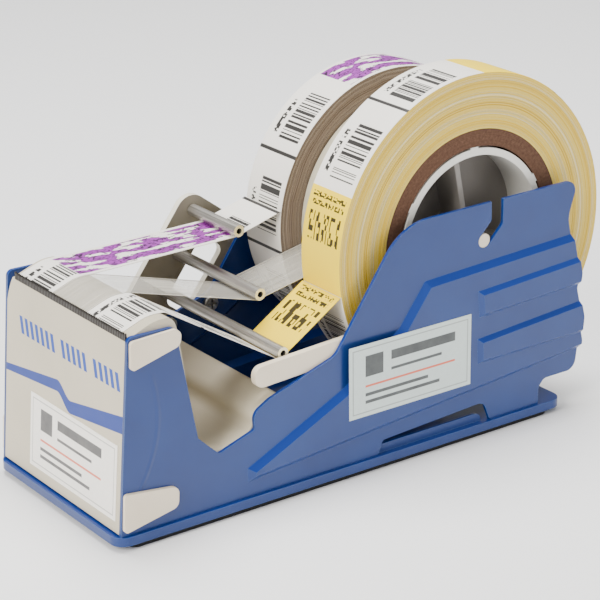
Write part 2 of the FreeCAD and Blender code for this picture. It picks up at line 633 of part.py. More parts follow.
# ----------------------------------------------------------------------------- near rail
rail = new_body("near_rail", NEAR_IN)
section = new_sketch(rail, "rail_outline", "XZ_Plane")
RAIL = [("brow_station-37.5", "brow_height-5.4"),
        ("brow_station-37.5", "brow_height-5.4+rail_depth"),
        ("brow_station+12.5", "brow_height-2.8+rail_depth"),
        ("brow_station+12.5", "brow_height-2.8")]
draw_polygon(section, RAIL)
pad(rail, "rail_bar", section, "rail_sheet", backwards=True)
section = new_sketch(rail, "rail_stud_section", "XZ_Plane")
draw_circle(section, *RAIL_STUD, "rail_sheet")
pad(rail, "rail_stud", section, "panel_sheet")
round_corners(rail, "rail_nose", "0.45*rail_depth", RAIL[:2])
round_corners(rail, "rail_tail", "2", RAIL[2:])

# ----------------------------------------------------------------------------- hub
hub_start = "-stack_width/2"
shell = ring("hub_shell", "core_bore-2*core_play-2*hub_rib",
             "core_bore-2*core_play-2*hub_rib-2*hub_wall", "stack_width", hub_start)
section = new_sketch(shell, "hub_rib_section", "XZ_Plane")
RIB_TOP = "sqrt((core_bore/2-core_play)^2-(rib_width/2)^2)"
draw_box(section, "-rib_width/2", "rib_width/2",
         "core_bore/2-core_play-hub_rib-hub_wall/2", RIB_TOP)
first_rib = pad(shell, "hub_first_rib", section, "stack_width", backwards=True)
ribs = shell.newObject("PartDesign::PolarPattern", "hub_ribs")
ribs.Originals = [first_rib]
ribs.Axis = ([f for f in shell.Origin.OriginFeatures if f.Role == "Y_Axis"][0], [""])
ribs.Angle = 360
ribs.Occurrences = 6
shell.Tip = ribs

SPOKES = (101, 221, 341)
bore_radius = "(core_bore/2-core_play-hub_rib-hub_wall)"
for side_name, start, open_end in (
        ("near", "-stack_width/2", True),
        ("far", "stack_width/2-spider_recess-spider_web", False)):
    spider = ring(f"{side_name}_hub_spider", f"2*{bore_radius}", "axle_diameter",
                  "spider_web", start + "+spider_recess" if open_end else start)
    section = new_sketch(spider, spider.Label + "_boss_section", "XZ_Plane")
    draw_circle(section, "0", "0", "boss_diameter")
    draw_circle(section, "0", "0", "axle_diameter")
    pad(spider, spider.Label + "_boss", section, "spider_recess+spider_web",
        backwards=not open_end)
    if open_end:
        spider.Tip.setExpression("Length", bound("spider_recess"))
    spokes = new_sketch(spider, spider.Label + "_spoke_section", "XZ_Plane")
    for angle in SPOKES:
        turn_x, turn_z = math.cos(math.radians(angle)), math.sin(math.radians(angle))
        inner, outer, half = "boss_diameter/2-0.5", f"{bore_radius}-0.03", "spider_web/2"
        draw_polygon(spokes, [
            (f"({inner})*{turn_x:.6f}-({half})*{turn_z:.6f}",
             f"({inner})*{turn_z:.6f}+({half})*{turn_x:.6f}"),
            (f"({outer})*{turn_x:.6f}-({half})*{turn_z:.6f}",
             f"({outer})*{turn_z:.6f}+({half})*{turn_x:.6f}"),
            (f"({outer})*{turn_x:.6f}+({half})*{turn_z:.6f}",
             f"({outer})*{turn_z:.6f}-({half})*{turn_x:.6f}"),
            (f"({inner})*{turn_x:.6f}+({half})*{turn_z:.6f}",
             f"({inner})*{turn_z:.6f}-({half})*{turn_x:.6f}")])
    pad(spider, spider.Label + "_spokes", spokes,
        "spider_recess-4" if open_end else "spider_recess+spider_web-4",
        backwards=not open_end)

axle = new_body("hub_axle", "-body_width/2+0.2", "station_zero+axle_station", "axle_height")
section = new_sketch(axle, "axle_section", "XZ_Plane")
draw_circle(section, "0", "0", "axle_diameter")
pad(axle, "axle_rod", section, "body_width-0.4", backwards=True)

# ----------------------------------------------------------------------------- rolls
LANES = [("near", "0", "near_roll_radius"), ("middle", "1", "middle_roll_radius"),
         ("far", "2", "far_roll_radius")]
for name, lane, radius in LANES:
    start = f"-stack_width/2+{lane}*tape_pitch"
    ring(f"{name}_core", "2*core_radius", "core_bore", "tape_width", start)
    ring(f"{name}_roll", f"2*{radius}", "2*core_radius", "tape_width", start)

# ----------------------------------------------------------------------------- tapes
# Each tape comes off its roll, goes under its guide roller and over the rest to the blade.
sheet_t, gap = size("tape_sheet"), size("body_gap")
axle_x, axle_z = size("axle_station"), size("axle_height")


def under(start, bar, end, radius):
    """Where the runs from start and from end meet, when both touch a round bar from below."""
    runs = []
    for point, turn in ((start, -1), (end, 1)):
        ahead = bar - point
        tilt = math.atan2(ahead.z, ahead.x) + turn * math.asin(radius / ahead.Length)
        runs.append(Vector(math.cos(tilt), 0, math.sin(tilt)))
    along = (end - start).cross(runs[1]).y / runs[0].cross(runs[1]).y
    return start + runs[0] * along


def tape(name, roller_x, roller_z, roll_radius, peel_height, lane):
    """The strip of one tape, from the blade over the rest and under its roller to its roll."""
    lift = 0.04
    first, crest, last = COVER_PATH[1:4]
    start_x = blade_x + 0.3
    share = (start_x - first[0]) / (crest[0] - first[0])
    start = (start_x, first[1] + share * (crest[1] - first[1]) + lift)
    reach = roll_radius + gap + 0.05
    peel_x = axle_x - math.sqrt(reach ** 2 - (peel_height - axle_z) ** 2)
    turn = size("roller_diameter") / 2 + gap + sheet_t
    corner = under(Vector(last[0], 0, last[1] + lift), Vector(roller_x, 0, roller_z),
                   Vector(peel_x, 0, peel_height), turn)
    points = [start, (crest[0], crest[1] + lift), (last[0], last[1] + lift),
              (corner.x, corner.z), (peel_x, peel_height)]
    solid = strip(points, [18, 4.5, turn], sheet_t, size("tape_width"))
    place_shape(name, solid, -size("stack_width") / 2 + lane * size("tape_pitch"))


tape("near_tape", size("low_station"), size("low_height"), size("near_roll_radius"),
     axle_z - 11.5, 0)
tape("middle_tape", size("mid_station"), size("mid_height"), size("middle_roll_radius"),
     axle_z - 7, 1)
tape("far_tape", size("high_station"), size("high_height"), size("far_roll_radius"),
     axle_z + 9, 2)

# ----------------------------------------------------------------------------- labels
LABEL_LOW, LABEL_HIGH, LABEL_SIDE, LABEL_LONG = 11.4, 42.1, 4.2, 65.1
label_corners = [Vector(-slope * (size("cover_height") - z) - back, 0, z)
                 for z, back in ((LABEL_LOW, 0), (LABEL_HIGH, 0),
                                 (LABEL_HIGH, size("label_sheet")), (LABEL_LOW, size("label_sheet")))]
front_label = Part.Face(Part.makePolygon(label_corners + label_corners[:1]))
place_shape("front_label", front_label.extrude(Vector(0, LABEL_LONG, 0)),
            size(NEAR_OUT) + LABEL_SIDE)

side_label = new_body("side_label", "-body_width/2-press_depth-label_sheet")
section = new_sketch(side_label, "side_label_outline", "XZ_Plane")
draw_box(section, "brow_station+4.6", "brow_station+67", "0.26*panel_top", "0.563*panel_top")
pad(side_label, "side_label_sheet", section, "label_sheet", backwards=True)

# ----------------------------------------------------------------------------- check, write
doc.recompute()
parts = [obj for obj in doc.Objects
         if obj.TypeId in ("PartDesign::Body", "Part::Feature")]
for obj in doc.Objects:
    if "Invalid" in obj.State or "Error" in obj.State:
        raise RuntimeError(f"{obj.Name} did not build: {obj.State}")
for obj in parts:
    if obj.Shape.isNull() or not obj.Shape.isValid() or not obj.Shape.Solids:
        raise RuntimeError(f"{obj.Label} is not a valid solid")
os.makedirs("parts", exist_ok=True)
for obj in parts:
    obj.Shape.exportStep(os.path.join("parts", obj.Label + ".step"))
print(len(parts), "parts written")
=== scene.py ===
# %% [markdown]
# # A bench dispenser for three rolls of label tape
#
# The real object stands on a counter and feeds label tape from three rolls to one saw-toothed
# blade.  The CAD model already holds every metal and plastic piece in its right place, so this
# lesson loads that model as a fixed frame and then adds what CAD leaves out: paint, moulded
# plastic, brushed tube, cardboard, wound paper and print.

# %% Load the frame
import bpy
import math
from functools import reduce
import numpy as np
from mathutils import Matrix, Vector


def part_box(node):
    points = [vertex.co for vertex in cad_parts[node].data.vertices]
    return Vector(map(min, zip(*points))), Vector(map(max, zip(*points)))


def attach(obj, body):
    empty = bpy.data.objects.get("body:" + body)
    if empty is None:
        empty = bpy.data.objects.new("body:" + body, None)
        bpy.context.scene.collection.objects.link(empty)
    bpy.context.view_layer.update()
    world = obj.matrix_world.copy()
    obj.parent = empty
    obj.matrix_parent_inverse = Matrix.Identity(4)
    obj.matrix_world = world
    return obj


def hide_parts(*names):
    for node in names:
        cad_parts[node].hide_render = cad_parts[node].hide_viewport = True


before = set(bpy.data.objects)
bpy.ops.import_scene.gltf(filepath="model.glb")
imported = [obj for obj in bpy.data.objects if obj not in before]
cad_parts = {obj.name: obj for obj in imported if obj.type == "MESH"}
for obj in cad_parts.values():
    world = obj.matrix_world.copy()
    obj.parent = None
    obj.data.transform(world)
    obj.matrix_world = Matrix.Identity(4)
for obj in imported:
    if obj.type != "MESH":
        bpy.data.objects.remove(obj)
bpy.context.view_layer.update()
MM = 0.001

# %% [markdown]
# Positions come from the frame.  The axle's centre line, the reach of each roll and the front
# line of the body are read from the boxes of the CAD nodes, so they follow when the model
# changes.

# %% Measure the frame
def middle(node):
    """Centre of a CAD node's box."""
    low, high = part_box(node)
    return (np.array(low) + np.array(high)) / 2


BLADE_SETBACK = 1.0 * MM      # from the front line of the body back to the blade
RIM_OVERHANG = 1.4 * MM       # how far the tray's rim stands out past the near panel

AXLE_X, _, AXLE_Z = middle("hub_axle").tolist()
FRONT_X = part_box("cutter_blade")[0][0] - BLADE_SETBACK
NEAR_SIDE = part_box("base_tray")[0][1] + RIM_OVERHANG
TRAY_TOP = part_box("near_panel")[0][2]
print("axle at", round(AXLE_X, 4), round(AXLE_Z, 4), "front line at", round(FRONT_X, 4))

# %% [markdown]
# ## Shader sums written as Python
#
# A finish is a small network of nodes.  Wiring each Math node by hand hides the idea, so a
# little class wraps an output socket and turns +, -, * and / into Math nodes.  A finish is
# then read like a formula.

# %% The socket class
class Signal:
    """An output socket of one finish, whose operators add Math nodes."""

    def __init__(self, finish, socket):
        self.finish = finish
        self.socket = socket

    def __add__(self, other):
        return maths("ADD", self, other)

    def __radd__(self, other):
        return maths("ADD", other, self)

    def __sub__(self, other):
        return maths("SUBTRACT", self, other)

    def __rsub__(self, other):
        return maths("SUBTRACT", other, self)

    def __mul__(self, other):
        return maths("MULTIPLY", self, other)

    def __rmul__(self, other):
        return maths("MULTIPLY", other, self)

    def __truediv__(self, other):
        return maths("DIVIDE", self, other)

    def __rtruediv__(self, other):
        return maths("DIVIDE", other, self)

    def floor(self):
        return maths("FLOOR", self)

    def fraction(self):
        return maths("FRACT", self)

    def size(self):
        """The value without its sign."""
        return maths("ABSOLUTE", self)

    def above(self, limit):
        """1 where the value is greater than the limit."""
        return maths("GREATER_THAN", self, limit)

    def rise(self, low, high):
        """0 below low, 1 above high, and a smooth step between them."""
        return self.finish.node("ShaderNodeMapRange", {"interpolation_type": "SMOOTHSTEP"},
                                {0: self, 1: low, 2: high, 3: 0.0, 4: 1.0})

    def within(self, low, high, soft):
        """1 between low and high, with edges as soft as stated."""
        return self.rise(low - soft, low + soft) * (1 - self.rise(high - soft, high + soft))


def maths(operation, *values):
    """One Math node on signals and numbers, at least one of them a signal."""
    finish = next(value.finish for value in values if isinstance(value, Signal))
    return finish.node("ShaderNodeMath", {"operation": operation}, dict(enumerate(values)))


def either(first, second):
    """1 where one mask or the other is 1."""
    return maths("MAXIMUM", first, second)


# %% [markdown]
# The second helper is the finish itself.  It owns one material, hands out the object's own
# coordinates, and has one method that adds any node.

# %% The finish class
def colour(red, green, blue):
    """A colour given in screen values from 0 to 255, made linear."""
    screen = np.array([red, green, blue]) / 255
    linear = np.where(screen <= 0.04045, screen / 12.92, ((screen + 0.055) / 1.055) ** 2.4)
    return (*linear.tolist(), 1.0)


class Finish:
    """A material built from nodes."""

    def __init__(self, name, **constants):
        self.material = bpy.data.materials.new(name)
        self.material.use_nodes = True
        self.tree = self.material.node_tree
        self.tree.nodes.clear()
        self.surface = self.tree.nodes.new("ShaderNodeBsdfPrincipled")
        output = self.tree.nodes.new("ShaderNodeOutputMaterial")
        self.tree.links.new(self.surface.outputs[0], output.inputs["Surface"])
        self.feed(**constants)
        self.place = self.node("ShaderNodeTexCoord", output="Object")
        self.x, self.y, self.z = (self.part(self.place, axis) for axis in "XYZ")

    def node(self, kind, settings=None, sockets=None, output=0):
        """Add a node, set its settings, then set or link its sockets."""
        made = self.tree.nodes.new(kind)
        for key, value in (settings or {}).items():
            setattr(made, key, value)
        self.fill(made, sockets or {})
        return Signal(self, made.outputs[output])

    def fill(self, node, sockets):
        """Link each socket that gets a signal and set the others."""
        for key, value in sockets.items():
            if isinstance(value, Signal):
                self.tree.links.new(value.socket, node.inputs[key])
            else:
                node.inputs[key].default_value = value

    def feed(self, **sockets):
        """Fill the surface shader's sockets, named with underscores for spaces."""
        self.fill(self.surface, {key.replace("_", " "): sockets[key] for key in sockets})

    def part(self, vector, axis):
        """One of the three values of a vector."""
        return self.node("ShaderNodeSeparateXYZ", None, {0: vector}, axis)

    def ramp(self, value, *stops):
        """Colours at positions along a value."""
        made = self.node("ShaderNodeValToRGB", None, {0: value})
        band = made.socket.node.color_ramp
        for number, (position, tint) in enumerate(stops):
            stop = band.elements[number] if number < 2 else band.elements.new(position)
            stop.position = position
            stop.color = tint
        return made

    def mix(self, share, first, second):
        """The first colour where share is 0, the second where it is 1."""
        return self.node("ShaderNodeMix", {"data_type": "RGBA"},
                         {0: share, 6: first, 7: second}, 2)

    def noise(self, scale, detail, place=None):
        """Noise at the object's own coordinates, or at another place."""
        return self.node("ShaderNodeTexNoise", None,
                         {"Vector": place or self.place, "Scale": scale, "Detail": detail},
                         "Fac")

    def line_noise(self, along, detail, roughness=0.6):
        """Noise that changes along one value only."""
        return self.node("ShaderNodeTexNoise", {"noise_dimensions": "1D"},
                         {"W": along, "Scale": 1.0, "Detail": detail, "Roughness": roughness},
                         "Fac")

    def chance(self, cell):
        """A fixed random number from 0 to 1 for each whole number."""
        return self.node("ShaderNodeTexWhiteNoise", {"noise_dimensions": "1D"}, {"W": cell},
                         "Value")

    def stretched(self, x, y, z):
        """The object's coordinates with each axis scaled."""
        return self.node("ShaderNodeMapping", None, {"Vector": self.place, "Scale": (x, y, z)})

    def facing(self, axis):
        """How far the surface faces along an axis, from -1 to 1."""
        return self.part(self.node("ShaderNodeNewGeometry", output="True Normal"), axis)

    def rounded(self, radius):
        """The normal as if the edges were rounded."""
        return self.node("ShaderNodeBevel", {"samples": 6}, {"Radius": radius})

    def bump(self, height, depth, strength, soft_edge=0.0):
        """Relief of the given depth; soft_edge rounds the shading of sharp corners."""
        sockets = {"Height": height, "Distance": depth, "Strength": strength}
        if soft_edge:
            sockets["Normal"] = self.rounded(soft_edge)
        self.feed(Normal=self.node("ShaderNodeBump", None, sockets))


def dress(finish, *nodes):
    """Give CAD nodes a finish."""
    for name in nodes:
        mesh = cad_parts[name].data
        mesh.materials.clear()
        mesh.materials.append(finish.material)
    print(finish.material.name, "on", ", ".join(nodes))


# %% [markdown]
# ## Blue enamel
#
# The side panels and the tray are pressed steel under a thick stoved enamel.  Enamel is a
# coloured layer below a clear glossy one, which is what the coat of the Principled shader
# gives.  A very low, wide noise makes the "orange peel" of sprayed paint, and a few fine
# specks of dust keep the gloss from being perfect.  The corners found by the Bevel node get a
# painted highlight in a paler blue, and faces that look up get a painted shade of deeper blue.

# %% Enamel
CREASE_REAR = 13.2 * MM           # rearmost place of the crease, behind the front line
CREASE_MIDDLE = 47 * MM           # height of that place above the tray
CREASE_BEND = 0.0105 * MM         # how far it runs forward, times the height in mm squared
CREASE_HALF_WIDTH = 1.5 * MM
CREASE_FOOT, CREASE_HEAD = 16 * MM, 62 * MM


def pressed_crease(paint):
    """1 along a shallow crease down the front post: x = rearmost - bend * height squared."""
    height = (paint.z - (TRAY_TOP + CREASE_MIDDLE)) / MM
    curve = FRONT_X + CREASE_REAR - CREASE_BEND * height * height
    groove = 1 - ((paint.x - curve).size() / CREASE_HALF_WIDTH).rise(0.0, 1.0)
    return groove * paint.z.within(TRAY_TOP + CREASE_FOOT, TRAY_TOP + CREASE_HEAD, 3 * MM)


def blue_enamel():
    paint = Finish("blue_enamel", Specular_IOR_Level=0.35, Coat_Roughness=0.09, Coat_IOR=1.45)
    clouds = paint.noise(35, 3)
    base = paint.ramp(clouds, (0.30, colour(14, 46, 108)), (0.75, colour(20, 55, 120)))
    flat = paint.node("ShaderNodeNewGeometry", output="True Normal")
    same = paint.node("ShaderNodeVectorMath", {"operation": "DOT_PRODUCT"},
                      {0: paint.rounded(0.45 * MM), 1: flat}, "Value")
    # Painted highlight: the sheet edges found by the Bevel node are painted a paler blue.
    edge = 1 - same.rise(0.80, 0.985)
    painted_edge_highlight = edge * (0.35 + 0.5 * paint.noise(260, 2))
    # Painted shade: faces that look up are painted a deeper, more saturated blue.
    painted_top_shade = paint.facing("Z").rise(0.12, 0.60)
    deep = paint.mix(painted_top_shade * 0.85, base, colour(0, 48, 132))
    dust = paint.noise(2600, 1).rise(0.70, 0.78)
    paint.feed(Base_Color=paint.mix(painted_edge_highlight, deep, colour(72, 120, 184)),
               Roughness=0.30 + 0.10 * clouds + 0.15 * dust, Coat_Weight=0.34 - 0.2 * dust)
    peel = paint.noise(420, 2)
    paint.bump(peel * 0.5 + pressed_crease(paint) * 9.0, 0.05 * MM, 0.5, 0.5 * MM)
    return paint


dress(blue_enamel(), "near_panel", "far_panel", "base_tray")

# %% [markdown]
# ## Moulded plastic
#
# The front cover is light grey moulded plastic with a fine spark-eroded grain.  On its front
# face a blue ribbon and a row of slanted blue bars are printed.  Both are masks worked out
# from the object's own Y and Z, and they only show where the surface faces forward.

# %% Front cover
def moulded(name, light, dark, grain=900, depth=0.03 * MM):
    """A moulding's finish and its tone, on which print can be laid."""
    plastic = Finish(name, Specular_IOR_Level=0.5)
    tone = plastic.ramp(plastic.noise(28, 3), (0.25, dark), (0.8, light))
    plastic.feed(Base_Color=tone, Roughness=0.38 + 0.12 * plastic.noise(160, 2))
    plastic.bump(plastic.noise(grain, 2), depth, 0.4, 0.6 * MM)
    return plastic, tone


def ribbon(across, up):
    """Two rising runs joined by a soft step, thinner towards the far side (all in mm)."""
    near_run = 54.8 - 0.175 * across
    far_run = 60.6 - 0.145 * across
    top = near_run + (far_run - near_run) * across.rise(39.0, 50.0)
    thick = 7.0 - 0.045 * across
    return (1 - (up - top).rise(-0.1, 0.1)) * (up - top + thick).rise(-0.1, 0.1)


BAR_FOOT, BAR_HEAD = 63.5, 70.5
BAR_PITCH = 4.0
BAR_LEAN = 0.30               # sideways for each millimetre up
BAR_GROUPS = ((4.2, 23.8), (28.2, 47.8), (52.2, 79.8))


def slanted_bars(across, up):
    """Slanted stripes of one height in three groups (all in mm)."""
    lean = across - BAR_LEAN * (up - (BAR_FOOT + BAR_HEAD) / 2)
    stripes = (lean / BAR_PITCH).fraction().within(0.16, 0.74, 0.03)
    groups = sum(lean.within(start, end, 0.02) for start, end in BAR_GROUPS)
    return stripes * groups * up.within(BAR_FOOT, BAR_HEAD, 0.12)


def front_print(plastic, tone):
    """Lay the ribbon and the bars on the faces that look forward."""
    across = (plastic.y - NEAR_SIDE) / MM
    up = plastic.z / MM
    forward = (0 - plastic.facing("X")).above(0.9)
    ink = plastic.mix(ribbon(across, up) * forward, tone, colour(0, 44, 134))
    plastic.feed(Base_Color=plastic.mix(slanted_bars(across, up) * forward, ink,
                                        colour(0, 62, 156)))


grey_plastic, grey_tone = moulded("grey_moulding", colour(202, 192, 170), colour(190, 181, 158))
front_print(grey_plastic, grey_tone)
dress(grey_plastic, "front_cover")

# %% [markdown]
# The caps, the rail and the axle are cream plastic, and the hub shell is a whiter, glossier
# one.  They share the recipe and differ in tone.

# %% Caps, rail and hub
cream_plastic, _ = moulded("cream_moulding", colour(238, 226, 204), colour(226, 211, 186))
dress(cream_plastic, "near_upper_cap", "near_lower_cap", "far_upper_cap", "far_lower_cap",
      "near_rail", "hub_axle")
white_plastic, _ = moulded("hub_shell_moulding", colour(236, 234, 226), colour(222, 219, 210),
                           1200, 0.015 * MM)
dress(white_plastic, "hub_shell")
web_plastic, _ = moulded("hub_web_moulding", colour(150, 144, 138), colour(132, 126, 120))
dress(web_plastic, "near_hub_spider", "far_hub_spider")

# %% [markdown]
# ## Metal pieces
#
# The blade is blackened spring steel, ground with a groove below each tooth.  The guide
# tubes are drawn aluminium: drawing leaves fine lines along the tube, so the noise is
# stretched along Y.  Their sawn ends are paler.  The guide plate's faces carry a painted
# shade of dark warm grey, and its edges a painted highlight of pale cream.

# %% Blade, tubes and plate
TOOTH_PITCH = 1.2 * MM


def blackened_blade():
    steel = Finish("blackened_steel", Metallic=0.35)
    tooth = ((steel.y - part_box("cutter_blade")[0][1]) / TOOTH_PITCH).fraction()
    groove = (tooth - 0.5).size() * 2
    stain = steel.noise(300, 3)
    steel.feed(Base_Color=steel.ramp(groove * 0.7 + stain * 0.3, (0.15, colour(12, 9, 7)),
                                     (0.9, colour(58, 50, 42))),
               Roughness=0.30 + 0.25 * stain)
    steel.bump(groove, 0.22 * MM, 0.9)
    return steel


def drawn_tube():
    tube = Finish("drawn_aluminium")
    lines = tube.noise(1, 3, tube.stretched(1900, 26, 1900))
    cloud = tube.noise(60, 2)
    cut = tube.facing("Y").size().above(0.8)
    body = tube.ramp(lines * 0.8 + cloud * 0.2, (0.30, colour(150, 146, 138)),
                     (0.72, colour(214, 210, 202)))
    tube.feed(Base_Color=tube.mix(cut, body, colour(244, 236, 200)),
              Roughness=0.26 + 0.22 * lines, Metallic=0.9 - 0.55 * cut)
    tube.bump(lines, 0.02 * MM, 0.5)
    return tube


def plated_steel(name, dark, light):
    """Steel between two greys, each a little warm."""
    steel = Finish(name, Metallic=1.0)
    turned = steel.noise(1, 2, steel.stretched(900, 900, 900))
    steel.feed(Base_Color=steel.ramp(turned, (0.3, colour(dark, dark - 2, dark - 6)),
                                     (0.8, colour(light, light - 2, light - 7))),
               Roughness=0.24 + 0.2 * turned)
    steel.bump(turned, 0.02 * MM, 0.4, 0.25 * MM)
    return steel


def plate_paint():
    paint = Finish("plate_painted_shade_and_highlight", Specular_IOR_Level=0.45)
    clouds = paint.noise(45, 3)
    # Painted highlight: faces that do not look along Y, the plate's edges, are painted pale
    # cream.
    painted_plate_edge_light = 1 - paint.facing("Y").size().rise(0.5, 0.9)
    # Painted shade: the plate's faces are painted a dark warm grey, as they look in shadow.
    body = paint.ramp(clouds, (0.25, colour(120, 114, 99)), (0.8, colour(138, 132, 117)))
    paint.feed(Base_Color=paint.mix(painted_plate_edge_light, body, colour(226, 221, 204)),
               Roughness=0.36 + 0.14 * paint.noise(300, 2))
    paint.bump(paint.noise(500, 2), 0.04 * MM, 0.4, 0.5 * MM)
    return paint


dress(blackened_blade(), "cutter_blade")
dress(drawn_tube(), "high_guide_roller", "middle_guide_roller", "low_guide_roller")
dress(plated_steel("plated_steel", 150, 205), "plate_screws", "plate_nuts")
dress(plated_steel("oiled_steel", 24, 46), "high_guide_pin", "middle_guide_pin",
      "low_guide_pin")
dress(plate_paint(), "guide_plate")

# %% [markdown]
# ## Rubber foot and cardboard cores
#
# Rubber is nearly black, rough and slightly mottled.  A core is wound from strips of brown
# board, so its cut end shows thin rings and its bore shows long fibres.  The rings need the
# distance from the axle, which the wound rolls use again.

# %% Rubber and board
def foot_rubber():
    rubber = Finish("foot_rubber", Specular_IOR_Level=0.35)
    mottle = rubber.noise(700, 4)
    rubber.feed(Base_Color=rubber.ramp(mottle, (0.3, colour(14, 14, 15)),
                                       (0.8, colour(36, 36, 38))),
                Roughness=0.72 + 0.18 * mottle)
    rubber.bump(mottle, 0.08 * MM, 0.6)
    return rubber


def radius_of(finish):
    """Distance from the axle's centre line."""
    right = finish.x - AXLE_X
    up = finish.z - AXLE_Z
    return maths("SQRT", right * right + up * up)


def core_board():
    board = Finish("core_board", Specular_IOR_Level=0.25)
    rings = board.line_noise(radius_of(board) * 3800, 3)
    fibres = board.noise(1, 4, board.stretched(900, 260, 900))
    board.feed(Base_Color=board.ramp(rings * 0.5 + fibres * 0.5, (0.28, colour(64, 42, 30)),
                                     (0.55, colour(98, 70, 54)), (0.85, colour(132, 100, 80))),
               Roughness=0.85 + 0.1 * fibres)
    board.bump(rings * 0.6 + fibres * 0.4, 0.12 * MM, 0.8)
    return board


dress(foot_rubber(), "rubber_foot")
dress(core_board(), "near_core", "middle_core", "far_core")

# %% [markdown]
# ## Wound rolls
#
# A roll of labels is hundreds of layers whose edges never line up exactly.  A plain ring
# would look like one lump, so each roll is a new surface: a closed profile is turned about
# the axle, and the two side faces step in and out by a tenth of a millimetre from layer to
# layer.  First comes the profile.

# %% The layered profile
LAYER_PITCH = 0.30 * MM       # one step of the side faces
CORNER = 0.25 * MM            # rounding of the two outer corners


def layered_profile(low_y, high_y, inner, outer, seed, step):
    """Radius and Y of each point of a roll's closed outline, and 1 where it is a side face.

    A layer's offset is a quick random draw plus a slow one made for every sixth layer.  It
    moves both side faces in or out, and round corners and a flat rim join them."""
    rng = np.random.default_rng(seed)
    layers = int((outer - inner) / LAYER_PITCH)
    radii = np.linspace(inner, outer - CORNER, layers)
    quick = rng.normal(0, step, layers)
    slow = rng.normal(0, step * 1.6, radii[::6].size)
    offsets = 0.6 * quick + 0.4 * np.interp(radii, radii[::6], slow)
    offsets = np.clip(offsets, -2.2 * step, 2.2 * step)
    inset = 2.3 * step
    turn = np.linspace(0, np.pi / 2, 4)[1:]
    corner_radii = outer - CORNER + CORNER * np.sin(turn)
    corner_low = low_y + inset + CORNER * (1 - np.cos(turn))
    corner_high = high_y - inset - CORNER * (1 - np.cos(turn))
    rim = np.linspace(corner_low[-1], corner_high[-1], 6)[1:-1]
    radius = np.concatenate([radii, corner_radii, np.full(rim.size, outer),
                             corner_radii[::-1], radii[::-1]])
    y = np.concatenate([low_y + inset + offsets, corner_low, rim,
                        corner_high[::-1], (high_y - inset - offsets)[::-1]])
    side = np.ones(layers)
    between = np.zeros(radius.size - 2 * layers)
    return radius, y, np.concatenate([side, between, side])


# %% [markdown]
# The profile is then turned about the axle.  Rows of the grid are steps round the axle and
# columns are points of the profile.  Both close on themselves, so the surface has no seam,
# and the corners of each face are listed in the order that makes it look outwards.

# %% The winding surface
TURNS = 240                   # steps round the axle


def winding(name, body, node, core, seed, step):
    """A layered profile turned about the axle, in place of a CAD roll.

    x = axle - radius cos t, z = axle + radius sin t and y = profile + wave, for t round the
    axle; the wave is a slow sine in t, on the side faces only."""
    low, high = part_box(node)
    core_low, core_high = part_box(core)
    outer = (high[0] - low[0]) / 2
    inner = (core_high[0] - core_low[0]) / 2
    radius, y, side = layered_profile(low[1], high[1], inner, outer, seed, step)
    t = np.linspace(0, 2 * np.pi, TURNS, endpoint=False)[:, None]
    wave = 0.9 * step * np.sin(3 * t + radius * 900) * side
    points = np.stack([AXLE_X - radius * np.cos(t), np.clip(y + wave, low[1], high[1]),
                       AXLE_Z + radius * np.sin(t)], axis=-1).reshape(-1, 3)
    row, column = np.arange(TURNS)[:, None], np.arange(radius.size)
    next_row, next_column = (row + 1) % TURNS, (column + 1) % radius.size
    corners = ((row, column), (next_row, column), (next_row, next_column), (row, next_column))
    faces = np.stack([i * radius.size + j for i, j in corners], axis=-1).reshape(-1, 4)
    mesh = bpy.data.meshes.new(name)
    mesh.from_pydata(points.tolist(), [], faces.tolist())
    mesh.shade_smooth()
    piece = bpy.data.objects.new(name, mesh)
    bpy.context.scene.collection.objects.link(piece)
    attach(piece, body)
    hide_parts(node)
    print(name, "radius", round(outer / MM, 1), "mm,", len(faces), "faces")
    return piece


near_wind = winding("near_winding", "near_reel", "near_roll", "near_core", 3, 0.05 * MM)
middle_wind = winding("middle_winding", "middle_reel", "middle_roll", "middle_core", 5,
                      0.02 * MM)
far_wind = winding("far_winding", "far_reel", "far_roll", "far_core", 8, 0.07 * MM)

# %% [markdown]
# ## Printed label stock
#
# Labels follow one another along the tape.  A place on the tape is given by how far it is
# along (in millimetres) and how far it is across.  On a roll the distance along is the angle
# times the radius; on a free tape it is counted from where the tape leaves the roll or from
# the blade.  The same print recipe then serves both.  The marks are plain bars and blocks
# that spell nothing.

# %% Marks on a label
LABEL_PITCH = 41.1            # from one label to the next, in mm
NEAR_FIRST, FAR_FIRST = 29.8, 31.1    # where a label starts, in each tape's own count
PAPER = colour(240, 236, 228)
YELLOW_PAPER = colour(255, 220, 22)
PURPLE = colour(150, 48, 160)
BLACK = colour(10, 8, 7)
BAR_WIDTH = 0.36              # thinnest bar, in mm
CRISP = 0.004                 # softness of an edge, as a share of a label


def bars(stock, along, seed):
    """Bars of random widths: a random number for each thin slice along the tape."""
    return stock.chance((along / BAR_WIDTH).floor() + seed).above(0.44)


def blocks(stock, along, across, along_size, across_size, seed):
    """Small random blocks, like worn stamped marks."""
    cell = (along / along_size).floor() * 37.0 + (across / across_size).floor()
    return stock.chance(cell + seed).above(0.45)


# %% [markdown]
# The near tape has white labels with a bar block and a row of small marks, and a yellow label
# with coarse blocks after every second white one.

# %% Near print
def white_label_ink(stock, along, across, share):
    code = bars(stock, along, 11) * share.within(0.12, 0.72, CRISP)
    code = code * across.within(2.6, 17.5, 0.15)
    tag = blocks(stock, along, across, 0.8, 1.0, 5) * share.within(0.16, 0.62, 0.01)
    return either(code, tag * across.within(19.8, 22.2, 0.1))


def yellow_label_ink(stock, along, across, share):
    big = blocks(stock, along, across, 2.3, 1.15, 91) * share.within(0.48, 0.76, CRISP)
    big = big * (across / 4.6).fraction().within(0.12, 0.88, 0.01)
    small = blocks(stock, along, across, 0.7, 0.8, 23)
    small = small * (share.within(0.82, 0.87, CRISP) + share.within(0.90, 0.95, CRISP))
    return either(big, small) * across.within(2.2, 23.2, 0.1)


